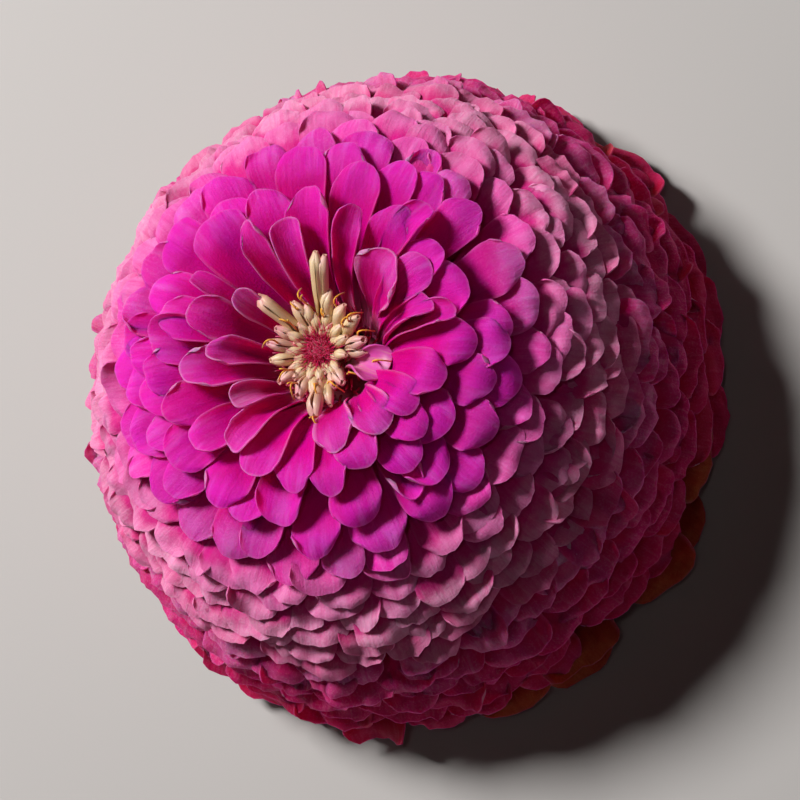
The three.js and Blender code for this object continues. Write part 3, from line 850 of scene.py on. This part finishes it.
# Green with pale veins and a dark tip.
def bractFinish(name):
    finish, tree, shader = startFinish(name)
    luck, = readAttributes(tree, "luck")
    across, along = readPetalMap(tree)
    colour = rampNode(tree, along, cupForm["colours"])
    veins = noiseNode(tree, growthPlace(tree, (across, along, luck), cupForm["veinScales"]), 1.0, 3.0)
    veinShare = multiply(tree, rangeNode(tree, veins, *cupForm["veinRange"]), cupForm["veinShare"])
    colour = mixColours(tree, veinShare, colour, cupForm["vein"])
    closeFinish(tree, shader, colour, veins, cupForm["bump"], {"Roughness": 0.55, "Sheen Weight": 0.2})
    return finish


def addCup():
    dice = random.Random(21)
    bm, layers = startSheet()
    for row, (count, rootR, rootZ, length, fromSlope, toSlope, width) in enumerate(cupForm["rows"]):
        for n in range(count):
            line = shootLine(rootR, rootZ, length * dice.uniform(0.94, 1.05), fromSlope, toSlope)
            bract = vary({"azimuth": (n + row * 0.5) * 360 / count + dice.uniform(-3, 3),
                          "width": width * dice.uniform(0.93, 1.06), "shape": cupForm["bract"], "angle": 10,
                          "grid": cupForm["grid"], "roll": dice.uniform(-4, 4)}, dice)
            bract.update(showing=99, ragged=0.3, buckle=0.3, crease=0, swing=0, lean=0, notch=0, foldDrift=0,
                         point=0.16)
            addPetal(bm, layers, bract, line)
    for face in bm.faces:
        face.normal_flip()
    green = bractFinish("greenBract")
    finishSheet(bm, layers, "bractsFine", cupForm["thickness"], [green], "involucre")


def addLathe(bm, profile):
    verts = [bm.verts.new(Vector((r, 0, z)) * mm) for r, z in profile]
    edges = [bm.edges.new(pair) for pair in zip(verts, verts[1:])]
    bmesh.ops.spin(bm, geom=verts + edges, axis=(0, 0, 1), cent=(0, 0, 0), steps=40, angle=2 * math.pi,
                   use_merge=True)
    bmesh.ops.remove_doubles(bm, verts=bm.verts, dist=0.00001)


receptacleForm = {
    "profile": [(0, 14.0), (8.6, 14.0), (9.4, 15.2), (8.8, 19.0), (6.6, 30.0), (3.6, 44.6), (0, 45.4)],
    "height": 46,
    "colours": [(0.3, 186, 190, 120), (0.6, 206, 130, 130), (1.0, 176, 20, 84)],
}


# The cone inside the bloom that carries every petal.
def addReceptacle():
    bm, layers = startSheet()
    addLathe(bm, receptacleForm["profile"])
    for vert in bm.verts:
        vert[layers["along"]] = vert.co.z / mm / receptacleForm["height"]
        vert[layers["luck"]] = 0.4
    rosy = shadedFinish("rosyReceptacle", receptacleForm["colours"], grainScale=900, roughness=0.6, sheen=0.05)
    finishSolid(bm, "receptacleFine", rosy)


stemForm = {
    "radius": 3.25, "height": 16,
    "cupProfile": [(4.6, 3.6), (6.6, 5.0), (8.2, 8.0), (9.2, 11.5), (9.5, 14.5), (9.0, 15.5), (0, 15.8)],
    "ribs": 10, "ribDepth": 0.03, "ribRange": (2.5, 5.0),
    "hairs": 260, "hairHeights": (0.4, 3.0), "hairRadii": (0.05, 0.035, 0.012),
    "colours": [(0.0, 126, 150, 84), (0.3, 98, 126, 58), (1.0, 160, 170, 110)],
}


# The cut stem and the underside of the cup, with shallow ribs and short hairs on the stem.
def addStem():
    dice = random.Random(2)
    bm, layers = startSheet()
    stemR = stemForm["radius"]
    addLathe(bm, [(0, 0.02), (stemR - 0.3, 0.0), (stemR, 0.3), (stemR - 0.05, 1.6), (stemR + 0.15, 2.8)]
             + stemForm["cupProfile"])
    for vert in bm.verts:
        around = math.atan2(vert.co.y, vert.co.x)
        low = 1 - easeIn(*stemForm["ribRange"], vert.co.z / mm)
        rib = 1 + stemForm["ribDepth"] * low * math.sin(around * stemForm["ribs"])
        vert.co.x *= rib
        vert.co.y *= rib
        vert[layers["along"]] = min(1.0, vert.co.z / mm / stemForm["height"])
        vert[layers["luck"]] = 0.5
    hairRadii = [radius * mm for radius in stemForm["hairRadii"]]
    for n in range(stemForm["hairs"]):
        outward = outwardAt(dice.uniform(0, 2 * math.pi))
        height = dice.uniform(*stemForm["hairHeights"])
        root = outward * (stemR - 0.1) + Vector((0, 0, height))
        tip = outward * (stemR + dice.uniform(0.5, 0.9)) + Vector((0, 0, height + dice.uniform(-0.1, 0.5)))
        addStrand(bm, layers, [root * mm, (root + tip) / 2 * mm, tip * mm], hairRadii, sides=3, luck=0.9)
    green = shadedFinish("stemGreen", stemForm["colours"], grainScale=700, roughness=0.6, sheen=0.2)
    piece = finishSolid(bm, "stemFine", green)
    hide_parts("involucre")


addCup()
addReceptacle()
addStem()
print("cup and stem made")

studio = {
    "imageWidth": 800, "sensorWidth": 36, "pixelSize": 0.1707,  # millimetres at the middle of the bloom
    "tilt": 24, "roll": 60, "distance": 0.62, "aimRight": -1.62, "aimUp": 0.35,
    "key": (-0.74, 0.45, 0.50), "keyDistance": 0.9, "keyPower": 9.8, "keySize": 0.28, "keyColour": (1.0, 0.97, 0.95),
    "heartFrom": (-0.12, 0.1, 1), "heartDistance": 0.6, "heartPower": 3.2, "heartCone": 7.5, "heartSize": 0.06,
    "heartColour": (1.0, 0.95, 0.95), "heartZ": 50,
    "fill": 0.024, "fillColour": (1.0, 0.72, 0.66, 1),
    "floorSize": 3.0, "floorColour": (0.52, 0.51, 0.5, 1), "floorRoughness": 0.8,
}


def addObject(name, data):
    thing = bpy.data.objects.new(name, data)
    bpy.context.collection.objects.link(thing)
    return thing


def addLight(name, kind, **settings):
    light = bpy.data.lights.new(name, kind)
    for key, value in settings.items():
        setattr(light, key, value)
    return addObject(name, light)


# Puts a light some way off in a direction, shining back.
def shineFrom(light, target, direction, distance):
    turn = Vector((0, 0, 1)).rotation_difference(direction).to_matrix().to_4x4()
    light.matrix_world = Matrix.Translation(target + direction * distance) @ turn


def addFloor():
    mesh = bpy.data.meshes.new("floor")
    bm = bmesh.new()
    bmesh.ops.create_grid(bm, x_segments=1, y_segments=1, size=studio["floorSize"])
    bm.to_mesh(mesh)
    bm.free()
    finish, _, shader = startFinish("paleFloor")
    shader.inputs["Base Color"].default_value = studio["floorColour"]
    shader.inputs["Roughness"].default_value = studio["floorRoughness"]
    mesh.materials.append(finish)
    addObject("floor", mesh)


def addStudio():
    addFloor()
    tilt, roll = math.radians(studio["tilt"]), math.radians(studio["roll"])
    back = Vector((0, -math.sin(tilt), math.cos(tilt)))
    plainRight = Vector((1, 0, 0))
    plainUp = back.cross(plainRight)
    right = plainRight * math.cos(roll) - plainUp * math.sin(roll)
    up = plainRight * math.sin(roll) + plainUp * math.cos(roll)
    centre = Vector((0, 0, domeForm["centreZ"] * mm))
    aim = centre + (right * studio["aimRight"] + up * studio["aimUp"]) * mm
    camera = bpy.data.cameras.new("camera")
    camera.sensor_width = studio["sensorWidth"]
    camera.lens = studio["sensorWidth"] * studio["distance"] / (studio["imageWidth"] * studio["pixelSize"] * mm)
    cameraObject = addObject("camera", camera)
    facing = Matrix((right, up, back)).transposed().to_4x4()
    cameraObject.matrix_world = Matrix.Translation(aim + back * studio["distance"]) @ facing
    bpy.context.scene.camera = cameraObject

    key = addLight("key", "AREA", shape="DISK", size=studio["keySize"], energy=studio["keyPower"],
                   color=studio["keyColour"])
    asideShare, upShare, backShare = studio["key"]
    towards = (right * asideShare + up * upShare + back * backShare).normalized()
    shineFrom(key, centre, towards, studio["keyDistance"])

    # A weak, narrow light from beside the camera that opens the shadows between the young petals.
    heartLight = addLight("heartLight", "SPOT", energy=studio["heartPower"], color=studio["heartColour"],
                          spot_size=math.radians(studio["heartCone"]), spot_blend=1.0,
                          shadow_soft_size=studio["heartSize"])
    asideShare, upShare, backShare = studio["heartFrom"]
    nearCamera = (back * backShare + right * asideShare + up * upShare).normalized()
    shineFrom(heartLight, Vector((0, 0, studio["heartZ"] * mm)), nearCamera, studio["heartDistance"])

    world = bpy.data.worlds.new("room")
    world.use_nodes = True
    world.node_tree.nodes["Background"].inputs[0].default_value = studio["fillColour"]
    world.node_tree.nodes["Background"].inputs[1].default_value = studio["fill"]
    bpy.context.scene.world = world
    bpy.context.scene.view_settings.view_transform = "Standard"
    bpy.context.scene.view_settings.look = "None"


addStudio()
print("studio made")
